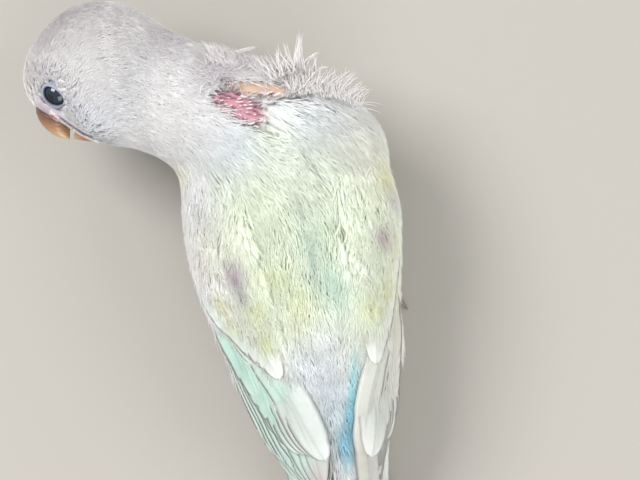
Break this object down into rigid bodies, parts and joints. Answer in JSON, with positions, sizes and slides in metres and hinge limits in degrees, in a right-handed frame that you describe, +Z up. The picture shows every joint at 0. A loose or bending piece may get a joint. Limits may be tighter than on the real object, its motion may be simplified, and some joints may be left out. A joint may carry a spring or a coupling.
{
  "type": "peach faced lovebird",
  "caption": "Life-size young, pale peach faced lovebird crouching on its belly, wings folded, neck bent round to its left with the bill pointing back and down.",
  "frame": {"origin": "on the floor, in the small flat that the belly rests on, about midway between wing bends and rump", "axes": "+Y from the tail to the shoulders, +X to the bird's right, +Z up off the floor"},
  "size_m": [0.0732, 0.148, 0.0416],
  "materials": {
    "plumage": "soft, matt small feathers, white on the head, pale yellow-green on the back, lavender-white on the rump",
    "flight_feathers": "smooth vanes with a silky sheen, pale yellow-green to mint, pinkish white towards the tips",
    "horn": "satin keratin, brown-orange at the base of the bill and cream at its tip, grey-brown on the claws",
    "bare_skin": "bare skin, finely scaled on the feet, pale and soft on cere and lids",
    "eye": "wet, glossy, almost black navy"
  },
  "bodies": {
    "root": {"head": "plumage", "neck": "plumage", "torso": "plumage", "tail": "flight_feathers", "wing_left": "flight_feathers", "wing_right": "flight_feathers", "leg_left": "bare_skin", "leg_right": "bare_skin", "eye_left": "eye", "eye_right": "eye", "bill_upper": "horn", "bill_lower": "horn"}
  },
  "joints": []
}
